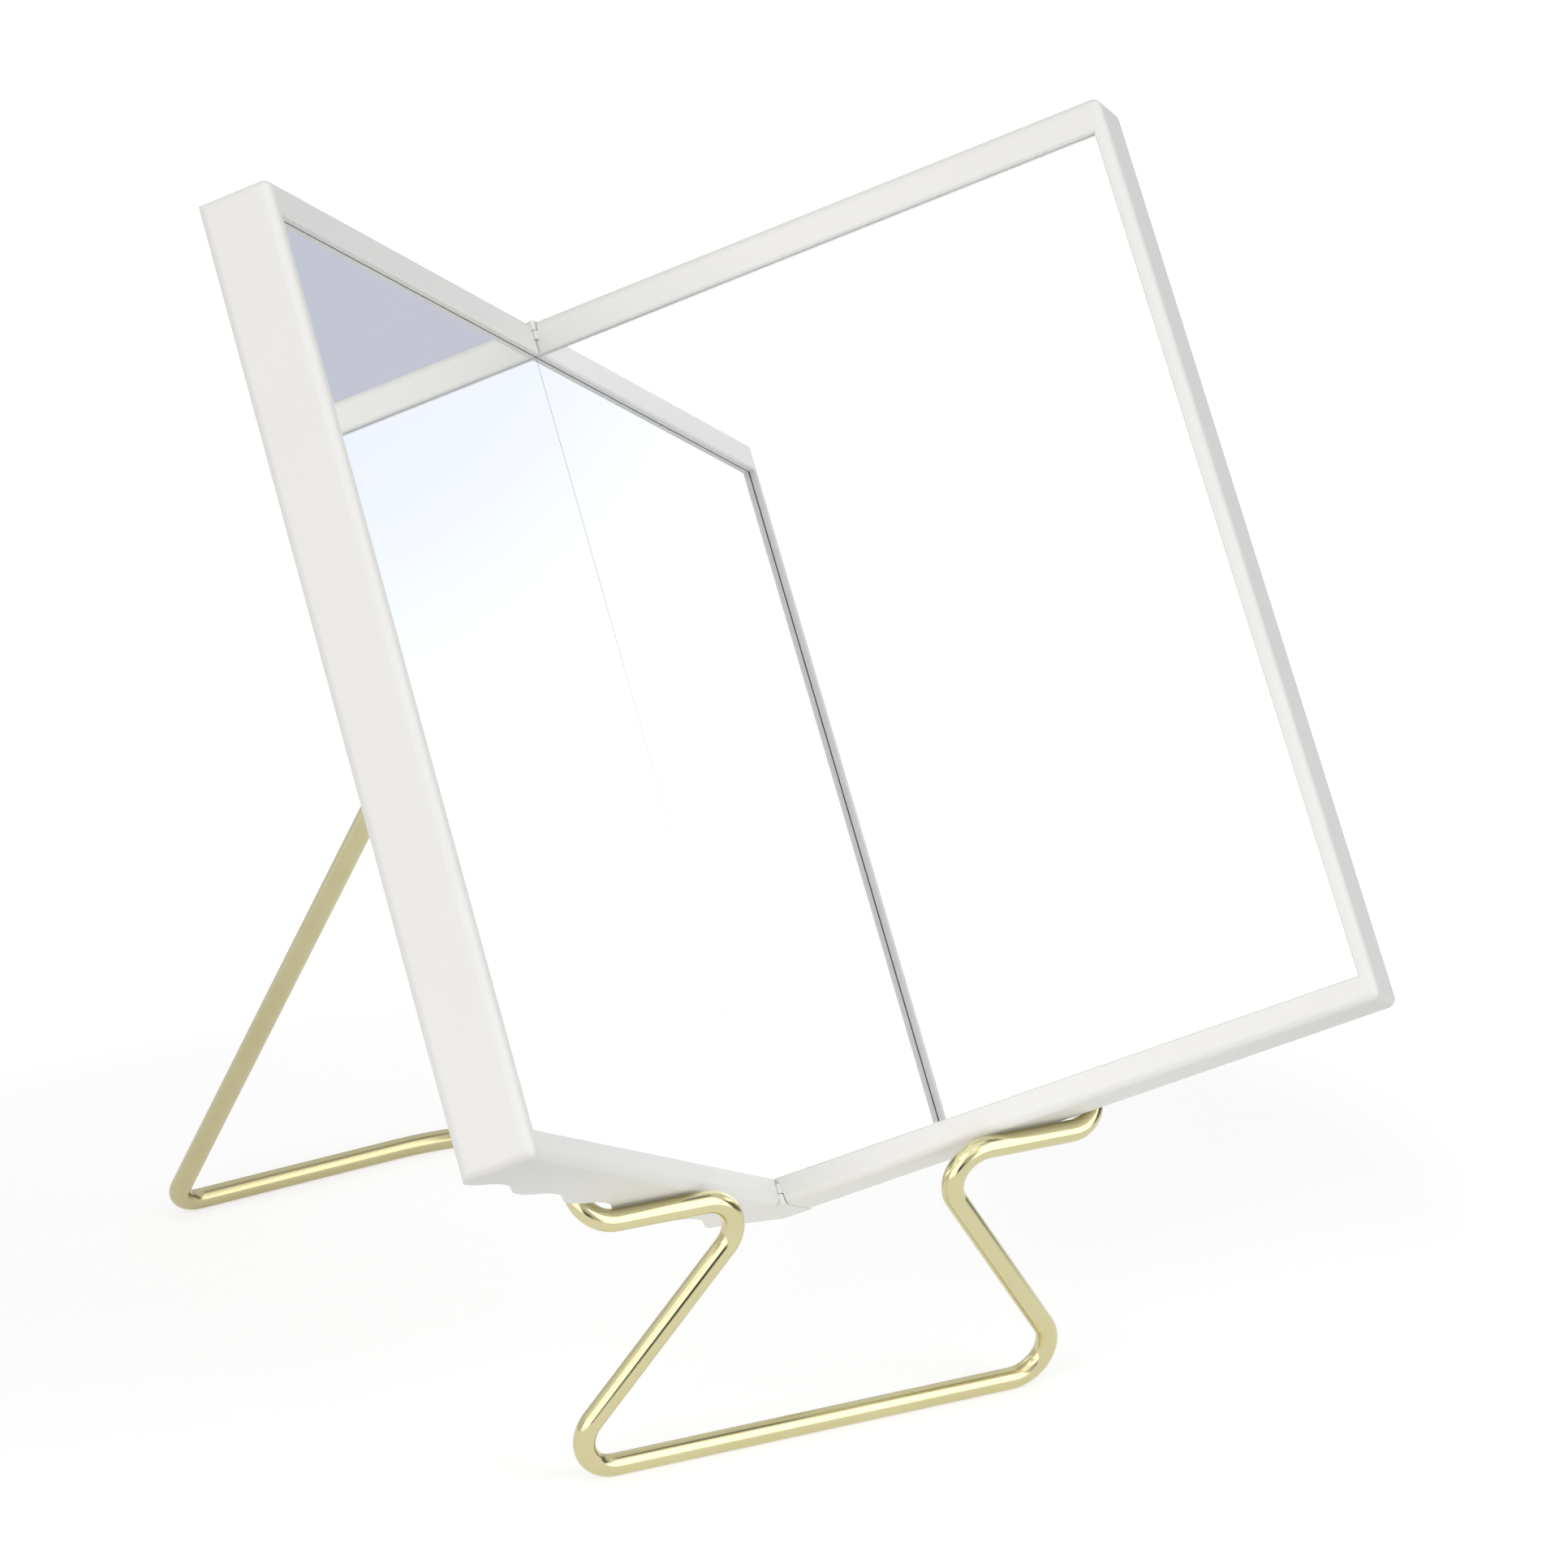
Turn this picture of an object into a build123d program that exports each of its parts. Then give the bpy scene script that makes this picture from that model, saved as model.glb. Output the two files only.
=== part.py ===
from build123d import *
from math import atan, cos, radians, sin, sqrt, tan
import os

os.makedirs("parts", exist_ok=True)

# Two front-surface mirrors meet at a right angle along a spine, so that each shows
# the other's image the right way round. They fold together like a book, and lean
# back on a stand bent from one wire. All sizes are millimetres.
# +X is the viewer's right, +Y is away from the viewer, +Z is up. The origin is on
# the table, in the middle of the stand's footprint.

# Mirror panels
panel_width = 121.5          # from the spine to the free edge
panel_height = 180.4         # from the underside to the top, along the spine
panel_thickness = 14.3       # from the bezel's face to the flat of the back
lean_angle = 34.5            # from upright, backwards

# Bezels, which stand proud of the glass on three sides of each panel
bezel_lip = 1.45
top_bezel = 6.7
side_bezel = 2.8
bottom_bezel = 5.3
lip_gap = 0.15               # air between the bezel's underside and the glass

# Moulded frames and back covers
frame_wall = 2.0
edge_radius = 1.8
window_bevel = 0.35
cover_wall = 2.0
cover_ledge = 1.5            # width of the step that carries the cover
cover_gap = 0.15             # around the cover's edge
right_cover_start = 2.0      # from the spine to the cover's near edge
left_cover_start = 6.6
rib_thickness = 1.4
cell_rows = 3                # pockets between the ribs behind the cover
cell_columns = 4

# Glass and its backing sheet
glass_thickness = 3.0
glass_fit = 0.3              # around the glass in its pocket
glass_meeting_gap = 0.04     # between the two glass edges at the spine
sheet_thickness = 1.0
sheet_margin = 4.0

# Spine, where the two frames meet on a mitre
mitre_gap = 0.1
right_back_start = -3.5      # where the flat of the right back begins, from the spine
left_back_start = 4.1

# Flutes scooped out of the left back
flute_count = 5
flute_pitch = 23.1
flute_depth = 2.6

# Hinge at the two ends of the spine
closing_gap = 0.2            # between the bezel faces of the folded panels
knuckle_radius = 0.6
knuckle_gap = 0.15
lug_side_gap = 0.15
lug_corner = 1.5             # at the lug's far tip
ear_height = 1.8
pin_radius = 0.3
pin_length = 3.9
pin_running_gap = 0.04

# Wire stand
wire_radius = 2.1
rest_gap = 0.15              # between the wire and the panels that rest on it
foot_length = 160.2          # from the front foot bar to the rear corners
front_half_width = 55.7
throat_half_width = 16.7     # where the front legs turn out into the shelves
shelf_half_width = 54.0
shelf_reach = 30.9           # how far the shelves stand in front of the spine
apex_height = 103.1          # above the panels' underside, along the spine
rear_half_width = 62.9
rear_bar_sweep = 9.0         # how far the rear bar's middle lies behind its corners
foot_bend = 7.0
throat_bend = 6.6
shelf_bend = 6.5
apex_bend = 8.0
rear_bend = 7.5
rear_middle_bend = 60.0

# Where the spine's lowest point stands over the foot
spine_foot_height = 39.4
spine_foot_setback = 14.9    # behind the front foot bar

# The panels' own directions: along the spine, and out along each panel
lean = radians(lean_angle)
spine = Vector(0, sin(lean), cos(lean))
forward = Vector(0, -cos(lean), sin(lean))
right_out = (Vector(1, 0, 0) + forward) * sqrt(0.5)
left_out = (Vector(-1, 0, 0) + forward) * sqrt(0.5)
front_bar_y = -foot_length / 2
spine_foot = Vector(0, front_bar_y + spine_foot_setback, spine_foot_height)

RIGHT = "right"
LEFT = "left"
back_depth = panel_thickness - bezel_lip
sheet_back = glass_thickness + sheet_thickness
pocket_side = panel_width - frame_wall
pocket_height = panel_height - 2 * frame_wall
mitre_shift = mitre_gap * sqrt(0.5)
hinge_out = bezel_lip + closing_gap / 2
cover_start = {RIGHT: right_cover_start, LEFT: left_cover_start}
back_start = {RIGHT: right_back_start, LEFT: left_back_start}
seat_depth = {RIGHT: back_depth - cover_wall, LEFT: back_depth - flute_depth - cover_wall}
overrun = 10.0               # how far a cutting outline passes the solid that it cuts


def plan(side, height=0):
    """The plane across a panel at a height: X out from the spine, Y out of the glass."""
    origin = spine_foot + spine * height
    if side == RIGHT:
        return Plane(origin, x_dir=right_out, z_dir=spine * -1)
    return Plane(origin, x_dir=left_out, z_dir=spine)


def rectangle(side, height, out, depth):
    """A plan rectangle between two distances from the spine and two depths."""
    with BuildSketch(plan(side, height)) as area:
        with Locations(((out[0] + out[1]) / 2, (depth[0] + depth[1]) / 2)):
            Rectangle(out[1] - out[0], depth[1] - depth[0])
    return area.sketch


def polygon(side, height, points):
    """A plan area with straight sides."""
    with BuildSketch(plan(side, height)) as area:
        with BuildLine():
            Polyline(*points, close=True)
        make_face()
    return area.sketch


def disc(side, height, radius):
    """A plan disc on the hinge axis, just proud of the corner between the bezel faces."""
    with BuildSketch(plan(side, height)) as area:
        with Locations((hinge_out, hinge_out)):
            Circle(radius)
    return area.sketch


def raise_area(area, length, mode=Mode.ADD):
    """Extrude a plan area up along the spine."""
    extrude(area, amount=length, dir=spine, mode=mode)


def panel_outline(side):
    """The plan of a panel: mitred at the spine, bevelled behind it, square at the free edge."""
    slack = back_start[RIGHT] + back_start[LEFT] + 2 * back_depth
    share = (back_start[RIGHT] + back_depth) / slack
    corner = share * (back_start[LEFT] + back_depth) - back_depth
    return polygon(side, 0, [
        (bezel_lip + mitre_shift, bezel_lip),
        (panel_width, bezel_lip),
        (panel_width, -back_depth),
        (back_start[side], -back_depth),
        (corner + mitre_shift, corner),
    ])


def round_outside(part, side):
    """Round a panel's outer edges, but not those at the spine or along the ends of the flutes."""

    def is_rounded(edge):
        middle = plan(side).to_local_coords(edge.center())
        on_flutes = side == LEFT and middle.Y < -seat_depth[LEFT] and abs(middle.Z - panel_height / 2) > 1
        return middle.X > flute_pitch / 2 and not on_flutes

    fillet(part.edges().filter_by(is_rounded), edge_radius)


def flute_line(inset):
    """The fluted back's line, moved in by an inset: a half crest, a hollow and a half crest a flute."""
    half_angle = 2 * atan(2 * flute_depth / flute_pitch)
    radius = flute_pitch / (4 * sin(half_angle))
    crest_y = radius - back_depth
    hollow_y = flute_depth - back_depth - radius

    def crest(middle, angle):
        reach = radius - inset
        return (middle + reach * sin(angle), crest_y - reach * cos(angle))

    def hollow(middle, angle):
        reach = radius + inset
        return (middle + reach * sin(angle), hollow_y + reach * cos(angle))

    for index in range(flute_count):
        begin = left_back_start + index * flute_pitch
        middle = begin + flute_pitch / 2
        end = begin + flute_pitch
        ThreePointArc(crest(begin, 0), crest(begin, half_angle / 2), crest(begin, half_angle))
        ThreePointArc(hollow(middle, -half_angle), hollow(middle, 0), hollow(middle, half_angle))
        ThreePointArc(crest(end, -half_angle), crest(end, -half_angle / 2), crest(end, 0))


def behind(side, height, inset):
    """The plan area that lies behind the back surface, once that is moved in by an inset."""
    surface = inset - back_depth
    outside = -back_depth - overrun
    near_end = -overrun
    far_end = panel_width + overrun
    if side == RIGHT:
        return rectangle(side, height, (near_end, far_end), (outside, surface))
    flute_end = left_back_start + flute_count * flute_pitch
    with BuildSketch(plan(side, height)) as area:
        with BuildLine() as border:
            flute_line(inset)
            Polyline(
                (flute_end, surface), (far_end, surface), (far_end, outside),
                (near_end, outside), (near_end, surface), (left_back_start, surface),
            )
        make_face(border.edges())
    return area.sketch


def hollow_frame(side):
    """Cut a frame's bevelled window, its glass pocket, its middle and the seat of its cover."""
    raise_area(
        rectangle(side, bottom_bezel, (-overrun, panel_width - side_bezel), (0, 2 * bezel_lip)),
        panel_height - top_bezel - bottom_bezel,
        Mode.SUBTRACT,
    )
    face_level = bezel_lip - window_bevel
    chamfer(
        edges(Select.LAST).filter_by(lambda edge: plan(side).to_local_coords(edge.center()).Y > face_level),
        window_bevel,
    )
    raise_area(
        rectangle(side, frame_wall, (-overrun, pocket_side), (-sheet_back, lip_gap)),
        pocket_height,
        Mode.SUBTRACT,
    )
    raise_area(
        rectangle(
            side, frame_wall + cover_ledge,
            (cover_start[side] + cover_ledge, pocket_side - cover_ledge), (-back_depth, -sheet_back),
        ),
        pocket_height - 2 * cover_ledge,
        Mode.SUBTRACT,
    )
    raise_area(
        rectangle(side, frame_wall, (cover_start[side], pocket_side), (-2 * back_depth, -seat_depth[side])),
        pocket_height,
        Mode.SUBTRACT,
    )


def back_cover(side):
    """A cover on its ledge, with ribs that reach in to the backing sheet."""
    plate = rectangle(
        side, frame_wall + cover_gap,
        (cover_start[side] + cover_gap, pocket_side - cover_gap), (-back_depth, -seat_depth[side]),
    )
    raise_area(plate, pocket_height - 2 * cover_gap)
    near = cover_start[side] + cover_ledge + cover_gap
    far = pocket_side - cover_ledge - cover_gap
    low = frame_wall + cover_ledge + cover_gap
    high = panel_height - low
    raise_area(rectangle(side, low, (near, far), (-back_depth, -sheet_back)), high - low)
    cell_width = (far - near - (cell_columns + 1) * rib_thickness) / cell_columns
    cell_height = (high - low - (cell_rows + 1) * rib_thickness) / cell_rows
    for column in range(cell_columns):
        cell_near = near + rib_thickness + column * (cell_width + rib_thickness)
        opening = rectangle(side, 0, (cell_near, cell_near + cell_width), (-back_depth, 0))
        cell = opening - behind(side, 0, cover_wall)
        for row in range(cell_rows):
            cell_low = low + rib_thickness + row * (cell_height + rib_thickness)
            raise_area(Pos(*(spine * cell_low)) * cell, cell_height, Mode.SUBTRACT)
    if side == LEFT:
        raise_area(behind(side, 0, 0), panel_height, Mode.SUBTRACT)


def lug_outline(height):
    """The plan of a lug: from the left end wall past the spine, with a nose on the hinge axis."""
    reach = hinge_out + knuckle_radius
    with BuildSketch(plan(LEFT, height)) as area:
        with BuildLine():
            Polyline(
                (hinge_out, reach), (-back_depth, reach), (-back_depth, back_start[RIGHT]),
                (back_start[LEFT], -back_depth), close=True,
            )
        make_face()
        fillet(area.vertices().sort_by(Axis.X)[-1], lug_corner)
        with Locations((hinge_out, hinge_out)):
            Circle(knuckle_radius)
    return area.sketch


def mirror_glass(side):
    """One glass, with its edge at the spine cut on the mitre."""
    shift = glass_meeting_gap * sqrt(0.5)
    glass_end = pocket_side - glass_fit
    area = polygon(side, frame_wall + glass_fit, [
        (shift, 0),
        (glass_end, 0),
        (glass_end, -glass_thickness),
        (shift - glass_thickness, -glass_thickness),
    ])
    raise_area(area, pocket_height - 2 * glass_fit)


def backing_sheet(side):
    """The rubber sheet between one glass and the ribs of its cover."""
    near = cover_start[side] + cover_ledge + sheet_margin
    far = pocket_side - cover_ledge - sheet_margin
    low = frame_wall + cover_ledge + sheet_margin
    raise_area(
        rectangle(side, low, (near, far), (-sheet_back, -glass_thickness)), panel_height - 2 * low
    )


# Right frame, cut back at both ends for the lugs, with an ear for each hinge pin
lug_room = frame_wall + knuckle_gap
ear_ends = [lug_room, panel_height - lug_room - ear_height]

with BuildPart() as right_frame:
    raise_area(panel_outline(RIGHT), panel_height)
    round_outside(right_frame, RIGHT)
    hollow_frame(RIGHT)
    lug_zone = (-2 * back_depth, hinge_out + knuckle_radius + lug_side_gap)
    for end in [-overrun, panel_height - lug_room]:
        raise_area(
            rectangle(RIGHT, end, lug_zone, (-2 * back_depth, 2 * bezel_lip)),
            overrun + lug_room,
            Mode.SUBTRACT,
        )
    for end in ear_ends:
        raise_area(disc(RIGHT, end, knuckle_radius), ear_height)
        raise_area(disc(RIGHT, end, pin_radius + pin_running_gap), ear_height, Mode.SUBTRACT)

# Left frame, whose end walls reach round the spine as two lugs
with BuildPart() as left_frame:
    raise_area(panel_outline(LEFT), panel_height)
    raise_area(behind(LEFT, 0, 0), panel_height, Mode.SUBTRACT)
    round_outside(left_frame, LEFT)
    hollow_frame(LEFT)
    for end in [0, panel_height - frame_wall]:
        raise_area(lug_outline(end), frame_wall)
        raise_area(disc(LEFT, end, pin_radius), frame_wall, Mode.SUBTRACT)
    for end in ear_ends:
        raise_area(
            disc(LEFT, end - knuckle_gap, knuckle_radius + knuckle_gap),
            ear_height + 2 * knuckle_gap,
            Mode.SUBTRACT,
        )

# Glass, backing sheets and back covers
with BuildPart() as right_mirror:
    mirror_glass(RIGHT)

with BuildPart() as left_mirror:
    mirror_glass(LEFT)

with BuildPart() as right_backing_sheet:
    backing_sheet(RIGHT)

with BuildPart() as left_backing_sheet:
    backing_sheet(LEFT)

with BuildPart() as right_back_cover:
    back_cover(RIGHT)

with BuildPart() as left_back_cover:
    back_cover(LEFT)

# Hinge pins, pressed into the lugs and turning in the ears
with BuildPart() as lower_hinge_pin:
    raise_area(disc(LEFT, 0, pin_radius), pin_length)

with BuildPart() as upper_hinge_pin:
    raise_area(disc(LEFT, panel_height - pin_length, pin_radius), pin_length)

# Wire stand: one closed loop, bent as two mirrored halves
apex_half_width = (back_depth + wire_radius + rest_gap) * sqrt(2) + shelf_reach
wire_below = -wire_radius - rest_gap
rear_corner_y = front_bar_y + foot_length
rear_middle = Vector(0, rear_corner_y + rear_bar_sweep, wire_radius)
rear_corner = Vector(rear_half_width, rear_corner_y, wire_radius)


def beside_shelf(half_width, height):
    """A point over the shelves, in the plane through both that runs along the spine."""
    return spine_foot + Vector(half_width, 0, 0) + forward * shelf_reach + spine * height


wire_corners = [
    Vector(0, front_bar_y, wire_radius),
    Vector(front_half_width, front_bar_y, wire_radius),
    beside_shelf(throat_half_width, wire_below),
    beside_shelf(shelf_half_width, wire_below),
    beside_shelf(apex_half_width, apex_height),
    rear_corner,
]
bends = [foot_bend, throat_bend, shelf_bend, apex_bend, rear_bend]

# The rear bar's wide middle bend, of which each half has one side
rear_run = (rear_middle - rear_corner).normalized()
half_turn = atan(rear_bar_sweep / rear_half_width)
bend_start = rear_middle - rear_run * rear_middle_bend * tan(half_turn)
bend_centre = Vector(0, bend_start.Y - rear_middle_bend * cos(half_turn), wire_radius)


def on_rear_bend(turn):
    """A point on the rear bar's middle bend, at a turn from its middle."""
    return bend_centre + Vector(sin(turn), cos(turn), 0) * rear_middle_bend


with BuildPart() as wire_stand:
    with BuildLine() as half_route:
        FilletPolyline(*wire_corners, bend_start, radius=bends)
        ThreePointArc(bend_start, on_rear_bend(half_turn / 2), on_rear_bend(0))
    with BuildSketch(Plane(wire_corners[0], x_dir=(0, 1, 0), z_dir=(1, 0, 0))):
        Circle(wire_radius)
    sweep(path=half_route.wire())
    mirror(about=Plane.YZ)

nodes = {
    "wire_stand": wire_stand,
    "right_frame": right_frame,
    "right_back_cover": right_back_cover,
    "right_mirror": right_mirror,
    "right_backing_sheet": right_backing_sheet,
    "left_frame": left_frame,
    "left_back_cover": left_back_cover,
    "left_mirror": left_mirror,
    "left_backing_sheet": left_backing_sheet,
    "upper_hinge_pin": upper_hinge_pin,
    "lower_hinge_pin": lower_hinge_pin,
}
for name, node in nodes.items():
    node.part.label = name
    export_step(node.part, f"parts/{name}.step")
    size = node.part.bounding_box().size
    print(f"{name}: {size.X:.1f} x {size.Y:.1f} x {size.Z:.1f} mm, {node.part.volume:.0f} mm3")
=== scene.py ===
# %% [markdown]
# # A mirror that doesn't reverse
#
# Two mirrors meet at a right angle along a leaning spine. What one of them shows has
# already been turned round by the other, so a face seen across the corner is the right way
# round. The two panels fold together like a book, and lean back on a stand that is bent
# from one gold wire.
#
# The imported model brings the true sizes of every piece. Blender adds what the eye needs:
# satin plastic, silvered glass, polished wire, and a white studio for them to reflect.

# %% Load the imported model
import math

import bpy
import numpy as np
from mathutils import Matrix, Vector


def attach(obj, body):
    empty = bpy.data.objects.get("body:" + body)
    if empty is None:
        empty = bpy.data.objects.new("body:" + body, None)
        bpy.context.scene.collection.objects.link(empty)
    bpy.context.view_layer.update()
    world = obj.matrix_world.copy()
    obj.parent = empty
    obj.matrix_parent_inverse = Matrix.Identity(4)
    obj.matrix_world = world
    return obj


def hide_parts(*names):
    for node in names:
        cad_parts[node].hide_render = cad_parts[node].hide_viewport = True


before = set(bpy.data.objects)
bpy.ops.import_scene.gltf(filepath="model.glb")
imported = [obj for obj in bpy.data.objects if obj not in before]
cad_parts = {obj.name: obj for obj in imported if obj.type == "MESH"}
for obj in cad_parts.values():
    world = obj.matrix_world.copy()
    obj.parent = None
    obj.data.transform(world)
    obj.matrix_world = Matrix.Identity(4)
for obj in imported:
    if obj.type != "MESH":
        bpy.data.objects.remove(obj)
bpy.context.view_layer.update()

print("pieces of the model:", sorted(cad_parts))

# %% [markdown]
# ## The viewpoint
#
# A photograph's straight edges give its camera away. The panels are square, so the
# vanishing directions of their edges fix how long the lens is and where the camera stood.
# That answer is written down here as a place, a line of sight and a lens. The camera was
# level, so its picture's upright direction has no roll about that line.

# %% Stand the camera where the photographer stood
camera_place = Vector((-0.4700, -0.9308, 0.4216))
line_of_sight = Vector((0.4575, 0.8403, -0.2908)).normalized()
lens_mm = 129.43

camera_data = bpy.data.cameras.new("studio_camera")
camera_data.lens = lens_mm
camera_data.sensor_width = 36.0
camera_data.clip_start = 0.05
camera_data.clip_end = 50.0
camera = bpy.data.objects.new("studio_camera", camera_data)
bpy.context.scene.collection.objects.link(camera)
camera.rotation_mode = "QUATERNION"
camera.location = camera_place
camera.rotation_quaternion = line_of_sight.to_track_quat("-Z", "Y")
bpy.context.scene.camera = camera
print("camera looks along", tuple(round(v, 3) for v in line_of_sight))

# %% [markdown]
# ## Directions that belong to the mirror
#
# Nothing on the two panels is parallel to the table, so patterns are easier to place with
# the panels' own directions: up along the spine, and outwards along each panel. Each
# panel's outward direction is also the direction that the other panel's glass faces.

# %% Name the directions of the leaning panels
lean = math.radians(34.5)
spine_foot = Vector((0.0, -0.0652, 0.0394))
up_spine = Vector((0.0, math.sin(lean), math.cos(lean)))
forward = Vector((0.0, -math.cos(lean), math.sin(lean)))
along_right = (Vector((1, 0, 0)) + forward).normalized()
along_left = (Vector((-1, 0, 0)) + forward).normalized()
print("angle between the two glasses:", round(math.degrees(along_right.angle(along_left)), 2))

# %% [markdown]
# ## Writing shaders as sums
#
# A node tree is a formula that is drawn with boxes. One small class lets the formula be
# written as Python instead: it wraps a socket, and each operator adds the Math node that
# does that sum. A second one adds any other node in one line, from its type, its settings
# and what feeds its sockets.


# %% A socket that can be added, multiplied and compared
class Signal:
    """A shader value: sums on it add the Math nodes that work them out."""

    def __init__(self, shader, socket):
        self.shader = shader
        self.socket = socket

    def sum_node(self, operation, first, second):
        return self.shader.add("ShaderNodeMath", {"operation": operation}, {0: first, 1: second})

    def __add__(self, other):
        return self.sum_node("ADD", self, other)

    def __sub__(self, other):
        return self.sum_node("SUBTRACT", self, other)

    def __mul__(self, other):
        return self.sum_node("MULTIPLY", self, other)

    def __gt__(self, other):
        return self.sum_node("GREATER_THAN", self, other)

    def __rsub__(self, other):
        return self.sum_node("SUBTRACT", other, self)

    __radd__ = __add__


class Shader:
    """The node tree of one material or of the world, with a method that adds any node."""

    def __init__(self, owner):
        owner.use_nodes = True
        self.tree = owner.node_tree
        self.tree.nodes.clear()

    def add(self, kind, settings=None, inputs=None, output=0):
        """Add a node: its settings first, then a value or a Signal for each named socket."""
        node = self.tree.nodes.new(kind)
        for name, value in (settings or {}).items():
            if name == "stops":
                ramp = node.color_ramp
                while len(ramp.elements) < len(value):
                    ramp.elements.new(0.5)
                for element, (place, level) in zip(ramp.elements, value):
                    element.position = place
                    element.color = (level, level, level, 1)
            else:
                setattr(node, name, value)
        for name, value in (inputs or {}).items():
            if isinstance(value, Signal):
                self.tree.links.new(value.socket, node.inputs[name])
            else:
                node.inputs[name].default_value = value
        return Signal(self, node.outputs[output]) if node.outputs else None

    def place(self):
        """The object's own coordinates, in metres, which are the model's."""
        return self.add("ShaderNodeTexCoord", output="Object")

    def dot(self, vector, direction):
        """How far a vector reaches along a direction."""
        settings = {"operation": "DOT_PRODUCT"}
        return self.add("ShaderNodeVectorMath", settings, {0: vector, 1: direction}, "Value")

    def noise(self, vector, scale, detail=2.0, roughness=0.5):
        """Soft noise, from 0 to 1, with features about 1 / scale metres across."""
        inputs = {"Vector": vector, "Scale": scale, "Detail": detail, "Roughness": roughness}
        return self.add("ShaderNodeTexNoise", None, inputs)

    def ramp(self, value, *stops):
        """Bend a value through stops of (place, level)."""
        return self.add("ShaderNodeValToRGB", {"stops": stops}, {"Fac": value})

    def blend(self, mask, low, high):
        """Mix two colours: the low one where the mask is 0, the high one where it is 1."""
        settings = {"data_type": "RGBA"}
        return self.add("ShaderNodeMix", settings, {0: mask, 6: low, 7: high}, 2)

    def bump(self, height, distance, strength=1.0):
        """Tilt the surface's normal by a height from 0 to 1 over a distance in metres."""
        inputs = {"Height": height, "Distance": distance, "Strength": strength}
        return self.add("ShaderNodeBump", None, inputs)

    def finish(self, **inputs):
        """The surface itself: a Principled shader with the given sockets."""
        named = {name.replace("_", " ").title(): value for name, value in inputs.items()}
        named = {"IOR" if name == "Ior" else name: value for name, value in named.items()}
        surface = self.add("ShaderNodeBsdfPrincipled", None, named)
        self.add("ShaderNodeOutputMaterial", None, {"Surface": surface})


def new_material(name):
    """A new material, and the Shader that fills its empty node tree."""
    material = bpy.data.materials.new(name)
    return material, Shader(material)


print("shader helpers are ready")

# %% [markdown]
# ## Moulded ivory plastic
#
# The frames are injection moulded in an off-white plastic with a satin skin. Up close the
# skin has a fine spark-eroded grain, very slight waves where the plastic cooled over the
# walls behind it, and a few faint rubs from handling. All three are noise, each at its own
# size: a quarter of a millimetre, two centimetres, and thin drawn-out streaks. The relief
# is at most two hundredths of a millimetre deep, because the real skin is smooth to the
# touch. The covers are a shade yellower and duller than the frames.


# %% Mould the ivory plastic
def dimmed(colour, share):
    """A colour with each of its three channels brought down to a share of itself."""
    return tuple(channel * share for channel in colour[:3]) + (1.0,)


def ivory(name, tint, relief, base_roughness):
    """Satin moulded plastic: grain, slow waves of tone, and faint rub marks."""
    material, shader = new_material(name)
    place = shader.place()
    grain = shader.noise(place, 4200.0, 2.0, 0.6)
    waves = shader.noise(place, 48.0, 2.0)
    stretch = {"Vector": place, "Rotation": (lean, 0.3, 0.7), "Scale": (900.0, 70.0, 260.0)}
    stretched = shader.add("ShaderNodeMapping", None, stretch)
    streaks = shader.ramp(shader.noise(stretched, 1.0, 3.0, 0.6), (0.66, 0.0), (0.74, 1.0))
    rubs = streaks * shader.ramp(shader.noise(place, 22.0), (0.5, 0.0), (0.68, 1.0))
    tone = shader.blend(waves, dimmed(tint, 0.965), tint)
    shader.finish(
        base_color=shader.blend(rubs * 0.35, tone, dimmed(tint, 0.9)),
        roughness=base_roughness + grain * 0.06 + waves * 0.05 - rubs * 0.1,
        ior=1.5,
        normal=shader.bump(grain * 0.7 + waves * 0.9, relief, 0.6),
    )
    return material


frame_ivory = ivory("ivory_moulding", (0.848, 0.836, 0.803, 1.0), 0.000008, 0.36)
cover_ivory = ivory("ivory_cover", (0.835, 0.822, 0.785, 1.0), 0.00002, 0.46)
print("ivory plastics:", frame_ivory.name, cover_ivory.name)

# %% [markdown]
# ## Silvered glass
#
# In a household mirror the silver lies behind the glass, and a second, faint image shows
# beside the first. These two glasses carry their silver on the front, so their images join
# in the corner with no seam. Each glass is one solid without layers of its own, so the
# material finds them by depth. The silver wraps round the edges, as a coating laid down in
# a vacuum does, and keeps the line where the two glasses meet thin and bright. Just before
# the back comes a hair of bare green glass, and the back itself is painted grey.


# %% Silver the front of each glass
silver_ends = -0.0029
bare_glass_ends = -0.00296


def silvered(name, facing):
    """Silver on the front and round the edges, a hair of green glass, grey paint behind."""
    material, shader = new_material(name)
    place = shader.place()
    height_of_face = shader.dot(place, facing) - spine_foot.dot(facing)
    silver = height_of_face > silver_ends
    unpainted = height_of_face > bare_glass_ends
    dust = shader.ramp(shader.noise(place, 900.0, 3.0, 0.7), (0.7, 0.0), (0.8, 1.0))
    wipe = shader.noise(place, 30.0, 2.0)
    behind_silver = shader.blend(unpainted, (0.30, 0.31, 0.32, 1.0), (0.62, 0.72, 0.68, 1.0))
    bright = shader.blend(wipe, (0.960, 0.970, 0.980, 1.0), (0.970, 0.980, 0.990, 1.0))
    shader.finish(
        base_color=shader.blend(silver, behind_silver, bright),
        metallic=silver,
        roughness=(1 - silver) * 0.3 + silver * dust * 0.02,
        ior=1.52,
    )
    return material


right_silver = silvered("silver_right", along_left)
left_silver = silvered("silver_left", along_right)
print("silvered:", right_silver.name, left_silver.name)

# %% [markdown]
# ## Small hidden parts
#
# A rubber sheet lies between each glass and the ribs of its cover, and two short steel pins
# carry the fold. They hardly show, but they get their real finishes: matt rubber with a
# little talc on it, and drawn steel with a fine grain and a trace of oil.


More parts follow.
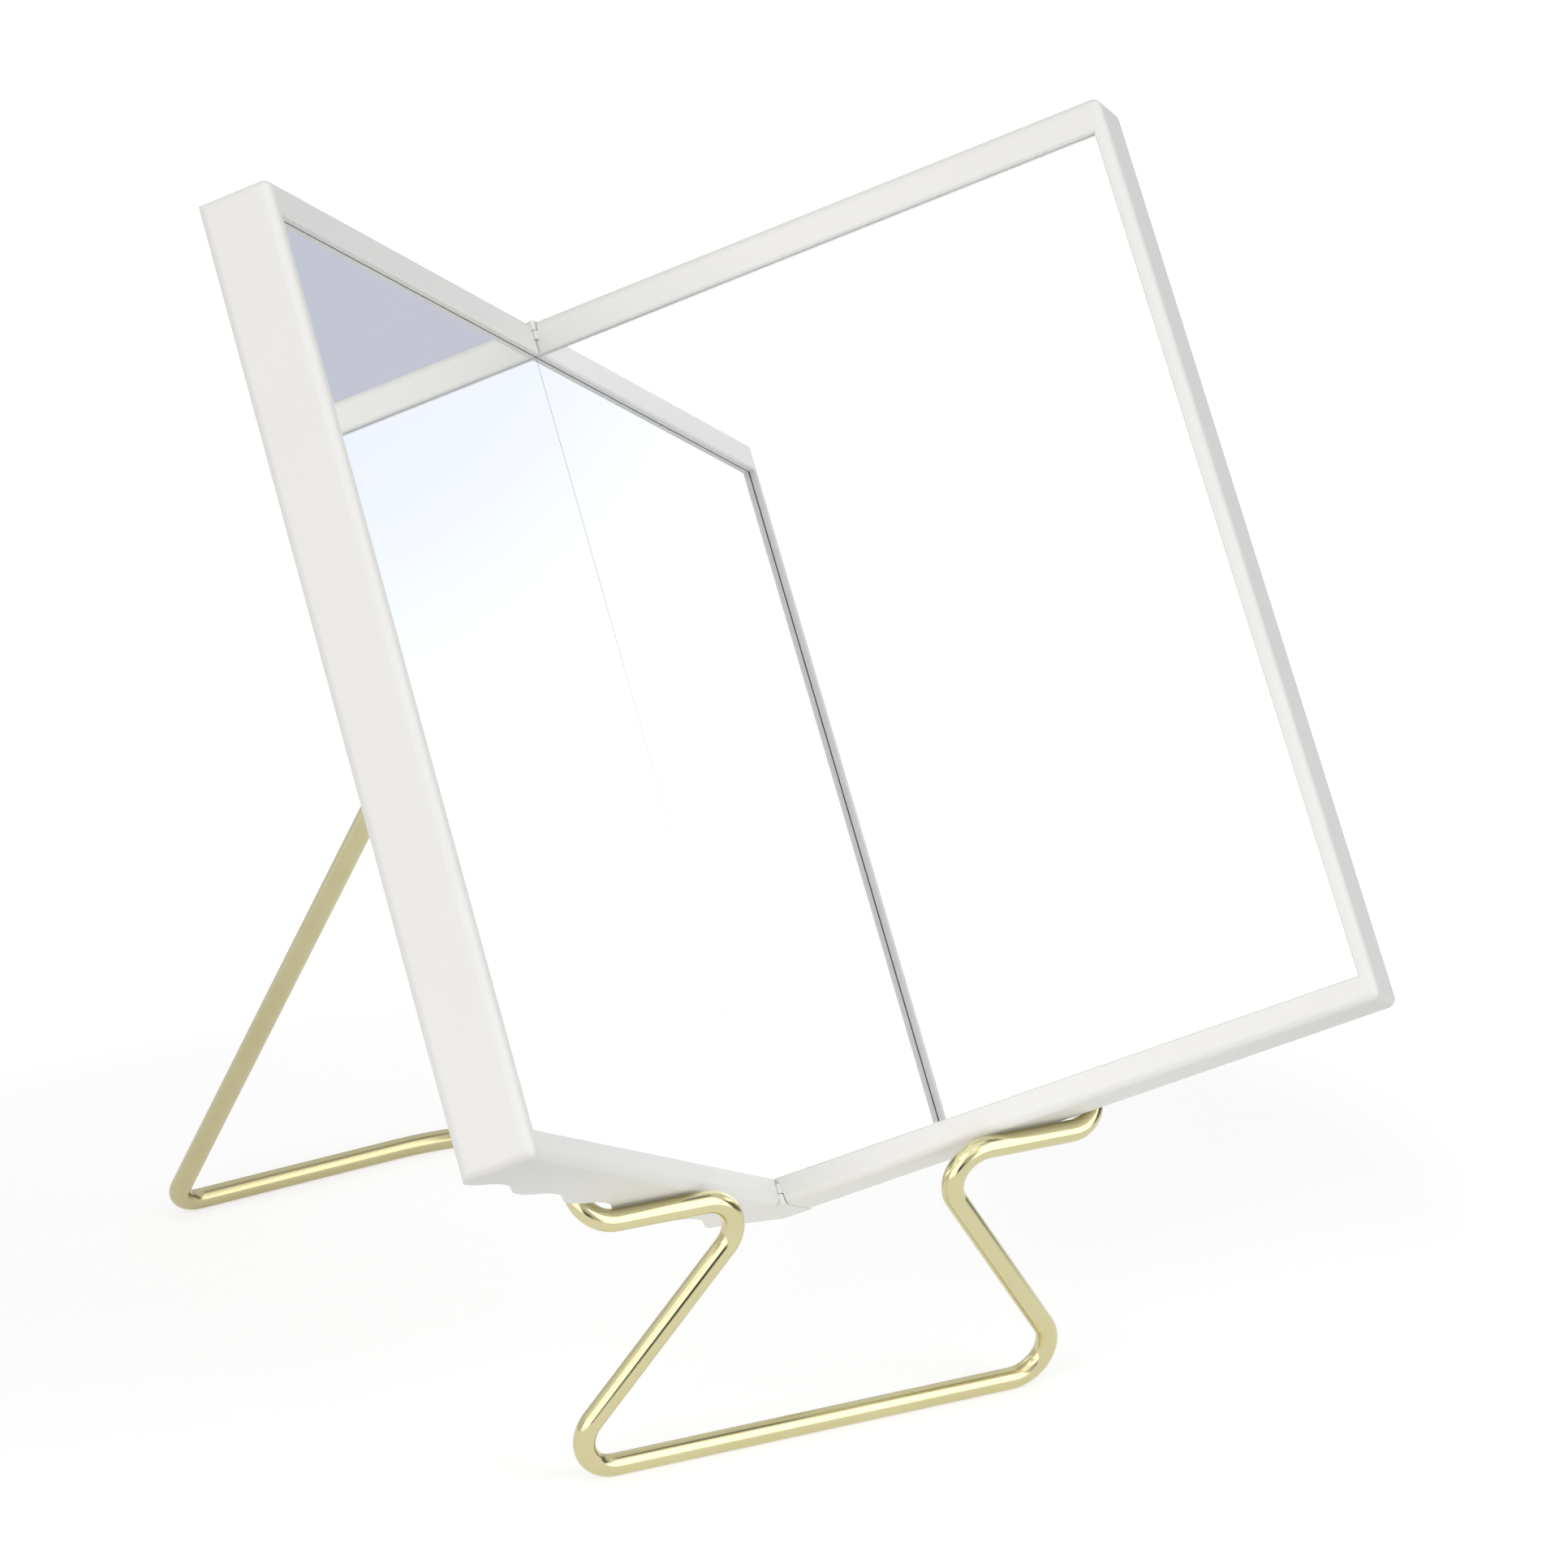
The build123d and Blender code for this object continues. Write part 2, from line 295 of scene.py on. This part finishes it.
# %% Rubber and pin steel
def rubber(name):
    """Matt dark rubber: fine pores, and faint patches of pale talc."""
    material, shader = new_material(name)
    place = shader.place()
    pores = shader.noise(place, 1500.0, 3.0, 0.65)
    talc = shader.ramp(shader.noise(place, 140.0, 3.0, 0.6), (0.5, 0.0), (0.8, 1.0))
    shader.finish(
        base_color=shader.blend(talc * 0.5, (0.03, 0.03, 0.033, 1.0), (0.10, 0.10, 0.10, 1.0)),
        roughness=0.72 + pores * 0.15,
        normal=shader.bump(pores, 0.00006, 0.8),
    )
    return material


def pin_steel(name):
    """Drawn steel: a very fine grain, and a tint where a trace of oil is left."""
    material, shader = new_material(name)
    place = shader.place()
    grain = shader.noise(place, 6000.0, 2.0, 0.7)
    oil = shader.noise(place, 700.0, 2.0)
    shader.finish(
        base_color=shader.blend(oil, (0.50, 0.49, 0.47, 1.0), (0.62, 0.62, 0.62, 1.0)),
        metallic=1.0,
        roughness=0.24 + grain * 0.12,
        normal=shader.bump(grain, 0.000006, 0.5),
    )
    return material


sheet_rubber = rubber("backing_rubber")
steel = pin_steel("pin_steel")
print("hidden finishes:", sheet_rubber.name, steel.name)

# %% [markdown]
# ## Dressing the model's own pieces
#
# The moulded pieces and the glasses already have their true shapes, so they keep their
# meshes. A piece takes its finish by putting the new material in each of its slots.

# %% Put each finish on its pieces
finishes = {
    "right_frame": frame_ivory,
    "left_frame": frame_ivory,
    "right_back_cover": cover_ivory,
    "left_back_cover": cover_ivory,
    "right_mirror": right_silver,
    "left_mirror": left_silver,
    "right_backing_sheet": sheet_rubber,
    "left_backing_sheet": sheet_rubber,
    "upper_hinge_pin": steel,
    "lower_hinge_pin": steel,
}
for piece_name, finish in finishes.items():
    for material_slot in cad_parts[piece_name].material_slots:
        material_slot.material = finish
print("dressed", len(finishes), "pieces of the model")

# %% [markdown]
# ## The bent wire
#
# The stand is one 4.2 mm wire. It was bent round pins in a jig, so it is straight runs
# joined by arcs, and both halves match. A curve object with a round bevel could draw it,
# but a tube worked out point by point follows the bends exactly, and can carry a map that runs
# along the wire for the marks of drawing and polishing.
#
# The tube is a ring of points that is carried along the route. On a straight run it only
# slides. At a bend it turns about the bend's own axis, through the angle between the two
# runs, which keeps it square to the wire and never twists it.
#
# The shelves pass under the panels with a gap of 0.15 mm, and the uprights pass behind
# their backs with the same gap, so both places come from one distance: the gap and the
# wire's radius.

# %% The route of one half of the wire
wire_radius = 0.0021
under_panels = -0.00225
back_depth = 0.01285
front_bar_y = -0.0801
front_half_width = 0.0557
throat_half_width = 0.0167
shelf_half_width = 0.0540
shelf_reach = 0.0309
apex_half_width = math.sqrt(2) * (back_depth - under_panels) + shelf_reach
apex_height = 0.1031
rear_half_width = 0.0629
rear_corner_y = 0.0801
rear_sweep = 0.009


def beside_shelf(half_width, height):
    """A point in the plane that holds both shelves and both uprights."""
    return spine_foot + Vector((half_width, 0, 0)) + forward * shelf_reach + up_spine * height


corners = np.array([
    (0.0, front_bar_y, wire_radius),
    (front_half_width, front_bar_y, wire_radius),
    beside_shelf(throat_half_width, under_panels),
    beside_shelf(shelf_half_width, under_panels),
    beside_shelf(apex_half_width, apex_height),
    (rear_half_width, rear_corner_y, wire_radius),
    (0.0, rear_corner_y + rear_sweep, wire_radius),
    (-rear_half_width, rear_corner_y, wire_radius),
])
bend_radii = np.array([7.0, 6.6, 6.5, 8.0, 7.5, 60.0]) / 1000
print("bends in half of the wire:", len(bend_radii))


# %% Carry a ring along the route
def turned(points, centre, axis, angles):
    """Turn points about an axis: the part along it stays, the rest swings by cos and sin."""
    arms = points - centre
    along = (arms @ axis)[:, None] * axis
    across = arms - along
    side = np.cross(axis, arms)
    cosines = np.cos(angles)[:, None, None]
    sines = np.sin(angles)[:, None, None]
    return centre + along + across * cosines + side * sines


def half_tube(sides, step_angle):
    """Rings along half of the wire, each slid down its run and then turned round its bend."""
    around = np.arange(sides) * 2 * np.pi / sides
    circle = np.stack([around * 0, np.cos(around), np.sin(around)], axis=1)
    ring = corners[0] + wire_radius * circle
    middle = corners[0]
    rings = [ring[None]]
    lengths = [np.zeros(1)]
    for index, radius in enumerate(bend_radii, start=1):
        before = corners[index] - corners[index - 1]
        after = corners[index + 1] - corners[index]
        before = before / np.linalg.norm(before)
        after = after / np.linalg.norm(after)
        turn = math.acos(float(before @ after))
        axis = np.cross(before, after) / math.sin(turn)
        start = corners[index] - before * radius * math.tan(turn / 2)
        centre = start + radius * np.cross(axis, before)
        whole_turn = turn / 2 if index == len(bend_radii) else turn
        angles = np.linspace(0, whole_turn, max(4, math.ceil(whole_turn / step_angle)) + 1)
        run = float(np.linalg.norm(start - middle))
        bend = turned(ring + (start - middle), centre, axis, angles)
        rings.append(bend)
        lengths.append(lengths[-1][-1] + run + radius * angles)
        ring = bend[-1]
        middle = turned(start[None], centre, axis, angles)[-1, 0]
    return np.concatenate(rings), np.concatenate(lengths)


half_rings, half_lengths = half_tube(sides=40, step_angle=math.radians(4))
print("rings in half of the tube:", len(half_rings))
print("length of that half in mm:", round(half_lengths[-1] * 1000, 1))

# %% [markdown]
# The other half is the same tube with every X turned to -X. Run backwards and put in
# front, it meets the first half at both ends, so the closed loop is a single grid whose
# last ring joins its first.


# %% Close the loop and make it a mesh
def ring_mesh(name, rings, lengths):
    """A mesh from a closed grid of rings: four neighbours in the grid make each face.

    The map holds the distance along the wire, in metres, and the share of the way round.
    """
    stations, sides = rings.shape[:2]
    row = np.arange(stations - 1)[:, None]
    column = np.arange(sides)[None, :]
    next_row = (row + 1) % (stations - 1)
    next_column = (column + 1) % sides
    ring, next_ring = row * sides, next_row * sides
    faces = [ring + column, ring + next_column, next_ring + next_column, next_ring + column]
    quads = np.stack(faces, axis=-1).reshape(-1, 4)
    mesh = bpy.data.meshes.new(name)
    mesh.from_pydata(rings[:-1].reshape(-1, 3), [], quads)
    across = np.stack([column, column + 1, column + 1, column], axis=-1) / sides
    across = np.broadcast_to(across, (stations - 1, sides, 4))
    along = np.stack([lengths[:-1], lengths[:-1], lengths[1:], lengths[1:]], axis=-1)
    along = np.broadcast_to(along[:, None, :], (stations - 1, sides, 4))
    layer = mesh.uv_layers.new(name="along_wire")
    layer.data.foreach_set("uv", np.stack([along, across], axis=-1).astype(np.float32).ravel())
    mesh.polygons.foreach_set("use_smooth", np.ones(len(quads), dtype=bool))
    mesh.update()
    return bpy.data.objects.new(name, mesh)


mirrored_rings = half_rings[::-1] * np.array([-1.0, 1.0, 1.0])
all_rings = np.concatenate([mirrored_rings, half_rings[1:]])
halfway = half_lengths[-1]
all_lengths = np.concatenate([halfway - half_lengths[::-1], halfway + half_lengths[1:]])
bent_wire = ring_mesh("bent_wire", all_rings, all_lengths)
bpy.context.scene.collection.objects.link(bent_wire)
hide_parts("wire_stand")
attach(bent_wire, "stand")
print("faces in the wire:", len(bent_wire.data.polygons))

# %% [markdown]
# ## Pale gold plating
#
# The wire is polished steel under a thin pale gold plate. Polishing leaves hair lines along
# the wire and a few dull pits, the plate's tone shifts a little along it, and a faint satin
# bloom comes and goes. The hair lines are noise that is squeezed round the wire and
# stretched along it, which is what the wire's own map is for.
#
# One value that grows from front to rear roughens the plate and mixes in a darker, browner
# tone: that tone is painted shade, for the light that the panels keep from the rear of the stand.

# %% Plate the wire
# Where the rear's painted shade and extra roughness begin and are complete, in metres along Y.
rear_shade_and_dulling_starts_y = -0.06
rear_shade_and_dulling_ends_y = 0.03

gold_plate, shader = new_material("gold_plate")
along_wire = shader.add("ShaderNodeUVMap", {"uv_map": "along_wire"})
squeeze = {"Vector": along_wire, "Scale": (60.0, 90.0, 1.0)}
squeezed = shader.add("ShaderNodeMapping", None, squeeze)
hair_lines = shader.noise(squeezed, 1.0, 4.0, 0.7)
bloom = shader.noise(shader.place(), 90.0, 3.0, 0.6)
pits = shader.ramp(shader.noise(shader.place(), 1900.0, 2.0), (0.72, 0.0), (0.82, 1.0))
plate_tone = shader.blend(bloom, (0.665, 0.60, 0.335, 1.0), (0.725, 0.675, 0.41, 1.0))
# Painted shade: the rear of the wire gets a darker, browner copy of the plate's tone.
painted_rear_shade_tone = shader.blend(bloom, (0.565, 0.50, 0.28, 1.0), (0.615, 0.565, 0.34, 1.0))
rearward = shader.dot(shader.place(), (0.0, 1.0, 0.0))
rear_shade_and_dulling = {"Value": rearward, "From Min": rear_shade_and_dulling_starts_y, "From Max": rear_shade_and_dulling_ends_y}
# This rear value mixes in the painted shade and roughens the plate.
behind = shader.add("ShaderNodeMapRange", None, rear_shade_and_dulling)
tone = shader.blend(behind, plate_tone, painted_rear_shade_tone)
shader.finish(
    base_color=shader.blend(pits * 0.4, tone, (0.50, 0.42, 0.22, 1.0)),
    metallic=1.0,
    roughness=0.08 + hair_lines * 0.05 + bloom * 0.05 + pits * 0.2 + behind * 0.09,
    normal=shader.bump(hair_lines * 0.6 + pits * 0.4, 0.000006, 0.45),
)
bent_wire.data.materials.append(gold_plate)
print("plated:", gold_plate.name)

# %% [markdown]
# ## A white studio
#
# The photograph was cut out on pure white, so the floor and the air behind it are white to
# the camera, and only the soft shadow shows where the stand touches. The floor is matt
# white paper with a little light of its own, and more of it for rays from the camera. That
# lifts it to white without more lamp light on the object.
#
# The photographed wire reflects dark parts of the room from low down, so the real sheet of
# paper can't have been wide. Here the camera, and anything seen through glass, finds a wide
# floor. For all other rays the paper fades out between 17 and 30 cm from the middle, and
# the world shows through.


# %% Lay the white floor
def floor_disc(name, radius, rings=8, sectors=96):
    """A round floor: points at an even angle on circles whose radii grow evenly."""
    angle = np.arange(sectors) * 2 * np.pi / sectors
    reach = np.linspace(radius / rings, radius, rings)[:, None]
    points = np.stack([reach * np.cos(angle), reach * np.sin(angle), reach * angle * 0], axis=-1)
    row = np.arange(rings - 1)[:, None]
    column = np.arange(sectors)[None, :]
    beside = (column + 1) % sectors
    circle, next_circle = row * sectors, (row + 1) * sectors
    faces = [circle + column, next_circle + column, next_circle + beside, circle + beside]
    quads = np.stack(faces, axis=-1).reshape(-1, 4)
    mesh = bpy.data.meshes.new(name)
    mesh.from_pydata(points.reshape(-1, 3), [], quads.tolist() + [list(range(sectors))])
    mesh.update()
    return bpy.data.objects.new(name, mesh)


floor = floor_disc("studio_floor", 2.2)
bpy.context.scene.collection.objects.link(floor)
print("floor across:", round(floor.dimensions.x, 3), "m")

# %% Make the floor of white paper
fading_starts = 0.17
fading_ends = 0.30

floor_card, shader = new_material("floor_card")
fibres = shader.noise(shader.place(), 700.0, 3.0, 0.6)
is_camera = shader.add("ShaderNodeLightPath", output="Is Camera Ray")
is_glass = shader.add("ShaderNodeLightPath", output="Is Transmission Ray")
seen = is_camera + is_glass
white_paper = shader.blend(fibres, (0.88, 0.88, 0.88, 1.0), (0.90, 0.90, 0.90, 1.0))
paper = shader.blend(seen, white_paper, (0.50, 0.50, 0.50, 1.0))
reach = shader.add("ShaderNodeVectorMath", {"operation": "LENGTH"}, {0: shader.place()}, "Value")
fading = {"Value": reach, "From Min": fading_starts, "From Max": fading_ends}
far = shader.add("ShaderNodeMapRange", None, fading)
card_look = {
    "Base Color": paper,
    "Roughness": 1.0,
    "Specular IOR Level": 0.0,
    "Emission Color": 0.2 + seen * (0.4 + far * 0.2),
    "Emission Strength": 1.0,
}
card = shader.add("ShaderNodeBsdfPrincipled", None, card_look)
see_through = shader.add("ShaderNodeBsdfTransparent")
surface = shader.add("ShaderNodeMixShader", None, {0: far * (1 - seen), 1: card, 2: see_through})
shader.add("ShaderNodeOutputMaterial", None, {"Surface": surface})
floor.data.materials.append(floor_card)
print("paper on the floor:", floor_card.name)

# %% [markdown]
# ## The room that metal and glass reflect
#
# Mirrors and polished wire are only as good as the room that they reflect, and here the
# object itself shows that room. A straight round wire reflects a whole arc of the
# surroundings across its width, so the light and dark stripes of each run say how bright
# the room was in each direction. Read together, they give two big white screens to the left
# and right of the camera, a dimmer gap between them with the dark camera at its foot, a dark
# side to the far right, and a pale ceiling with one dark hood in it. The glasses add what
# they look at: a bluish grey wall behind on the right, a bright spot high on the left, and
# a wide bright one high above the camera, bluish at its middle, seen by way of both.
#
# Each is a soft-edged patch on the world, found from the direction that a ray leaves in.
# Bearings run anticlockwise from the X axis, and both they and the heights are in degrees.

# %% Start the room, and find where a ray goes
world = bpy.data.worlds.new("studio_room")
bpy.context.scene.world = world
shader = Shader(world)
direction = shader.add("ShaderNodeTexCoord", output="Generated")


def soft_step(value, low, high):
    """0 up to the low value, 1 past the high one, smooth between, and so when swapped too."""
    inputs = {"Value": value, "From Min": low, "From Max": high}
    return shader.add("ShaderNodeMapRange", {"interpolation_type": "SMOOTHSTEP"}, inputs)


def glow(towards, inner, outer):
    """A round spot: 1 within the inner angle of a direction and 0 past the outer, in degrees."""
    reach = shader.dot(direction, Vector(towards).normalized())
    return soft_step(reach, math.cos(math.radians(outer)), math.cos(math.radians(inner)))


height = shader.dot(direction, (0.0, 0.0, 1.0))
without_height = {0: direction, 1: (1, 1, 0)}
flattened = shader.add("ShaderNodeVectorMath", {"operation": "MULTIPLY"}, without_height)
heading = shader.add("ShaderNodeVectorMath", {"operation": "NORMALIZE"}, {0: flattened})


def wall_patch(bearing, half_width, low, high, blur):
    """A patch of wall with soft edges: 1 within its bearings and heights, 0 outside them.

    The patch is the product of a step at each side, where the cosine of the angle from the
    middle bearing, or the sine of the height, passes its limit.
    """
    middle = Vector((math.cos(math.radians(bearing)), math.sin(math.radians(bearing)), 0))
    side_angles = (min(180, half_width + blur), half_width - blur)
    foot_angles = (low - blur, low + blur)
    head_angles = (high - blur, high + blur)
    sides = [math.cos(math.radians(angle)) for angle in side_angles]
    across = soft_step(shader.dot(heading, middle), *sides)
    foot = soft_step(height, *(math.sin(math.radians(angle)) for angle in foot_angles))
    head = soft_step(height, *(math.sin(math.radians(angle)) for angle in head_angles))
    return across * foot * (1 - head)


print("nodes that find a ray's direction:", len(world.node_tree.nodes))

# %% Paint the patches, each over the last
dim_ceiling = wall_patch(5, 95, -80, 80, 9)
ceiling = shader.blend(dim_ceiling, (1.15, 1.16, 1.17, 1.0), (0.78, 0.78, 0.78, 1.0))
above = soft_step(height, math.sin(math.radians(15)), math.sin(math.radians(32)))
room = shader.blend(above, (0.66, 0.665, 0.67, 1.0), ceiling)

left_screen = wall_patch(205, 28, -14, 52, 6)
right_screen = wall_patch(299, 27, -14, 52, 6)
gap_between = wall_patch(250, 15, -10, 24, 5)
dark_side = wall_patch(354, 24, -14, 18, 5)
grey_wall = wall_patch(31, 14, -12, 14, 4)
paper_below = soft_step(height, math.sin(math.radians(-8)), math.sin(math.radians(-17)))
camera_body = wall_patch(241, 11, -13, 4, 3)
hood_overhead = glow((0.42, -0.06, 0.88), 4, 12)
in_right_mirror = glow((-0.86, -0.25, 0.45), 8, 14)
in_both_mirrors = glow((-0.38, -0.50, 0.78), 13, 19)
blue_in_both = glow((-0.38, -0.50, 0.78), 1.5, 9)
painting = [
    (left_screen, (1.95, 1.95, 1.95, 1.0)),
    (right_screen, (2.10, 2.10, 2.10, 1.0)),
    (gap_between, (0.60, 0.60, 0.58, 1.0)),
    (dark_side, (0.16, 0.16, 0.15, 1.0)),
    (grey_wall, (0.565, 0.578, 0.658, 1.0)),
    (paper_below, (0.93, 0.93, 0.93, 1.0)),
    (camera_body, (0.06, 0.06, 0.05, 1.0)),
    (hood_overhead, (0.22, 0.22, 0.20, 1.0)),
    (in_right_mirror, (1.30, 1.30, 1.30, 1.0)),
    (in_both_mirrors, (1.50, 1.50, 1.50, 1.0)),
    (blue_in_both, (0.93, 0.95, 1.02, 1.0)),
]
for patch, colour in painting:
    room = shader.blend(patch, room, colour)
print("patches in the room:", len(painting))

# %% [markdown]
# ## What each kind of ray finds
#
# The painted room is for reflections. The camera, and anything seen through glass, finds
# plain white. Matt surfaces are lit by an even daylight that is weaker from below, with
# more from the table behind the object, which keeps the backs of the leaning panels from
# going grey. Light that has left a matt surface and then meets a mirror finds an even room
# too: the bright and dark patches would only turn up there as speckle.

# %% Give each kind of ray its background
upper = soft_step(height, -0.06, 0.06)
table_behind = wall_patch(90, 75, -65, 2, 10)
daylight = 0.22 + upper * 0.34 + table_behind * 0.5
bounced = shader.add("ShaderNodeLightPath", output="Diffuse Depth") > 0.5
reflected = shader.blend(bounced, room, (1.1, 1.1, 1.1, 1.0))
by_light = shader.add("ShaderNodeBackground", None, {"Color": daylight, "Strength": 1.0})
by_metal = shader.add("ShaderNodeBackground", None, {"Color": reflected, "Strength": 1.0})
by_eye = shader.add("ShaderNodeBackground", None, {"Color": (1.0, 1.0, 1.0, 1.0), "Strength": 1.0})
is_metal = shader.add("ShaderNodeLightPath", output="Is Glossy Ray")
is_camera = shader.add("ShaderNodeLightPath", output="Is Camera Ray")
is_glass = shader.add("ShaderNodeLightPath", output="Is Transmission Ray")
lit = shader.add("ShaderNodeMixShader", None, {0: is_metal, 1: by_light, 2: by_metal})
backdrop = shader.add("ShaderNodeMixShader", None, {0: is_camera + is_glass, 1: lit, 2: by_eye})
shader.add("ShaderNodeOutputWorld", None, {"Surface": backdrop})
print("room painted with", len(world.node_tree.nodes), "nodes")

# %% [markdown]
# ## Soft lamps
#
# A large soft lamp stands to the left, in front and above, so that the faces turned that
# way are the brightest, and a weaker, slightly cooler one lights the faces turned to the
# right. Both are big and near, which keeps every shadow wide and faint. Neither shows in
# the mirrors or the wire, because the painted screens already stand for them there.


# %% Hang the lamps
object_middle = Vector((0, 0, 0.1))


def soft_lamp(name, place, size, power, colour):
    """A square lamp that looks at the object's middle and lights it, but isn't mirrored."""
    data = bpy.data.lights.new(name, "AREA")
    data.shape = "SQUARE"
    data.size = size
    data.energy = power
    data.color = colour
    lamp = bpy.data.objects.new(name, data)
    lamp.location = place
    lamp.rotation_mode = "QUATERNION"
    lamp.rotation_quaternion = (object_middle - Vector(place)).to_track_quat("-Z", "Y")
    lamp.visible_glossy = False
    bpy.context.scene.collection.objects.link(lamp)
    return lamp


key = soft_lamp("key_lamp", (-1.5, -1.1, 0.8), 1.2, 16.8, (1.0, 0.995, 0.99))
fill = soft_lamp("fill_lamp", (1.0, -1.5, 0.8), 1.2, 12.6, (0.92, 0.97, 1.0))
print("lamps:", key.name, fill.name)

# %% [markdown]
# ## Colours as written
#
# The Standard view shows a colour as its shader makes it, with no film curve on top.

# %% Set the view
bpy.context.scene.view_settings.view_transform = "Standard"
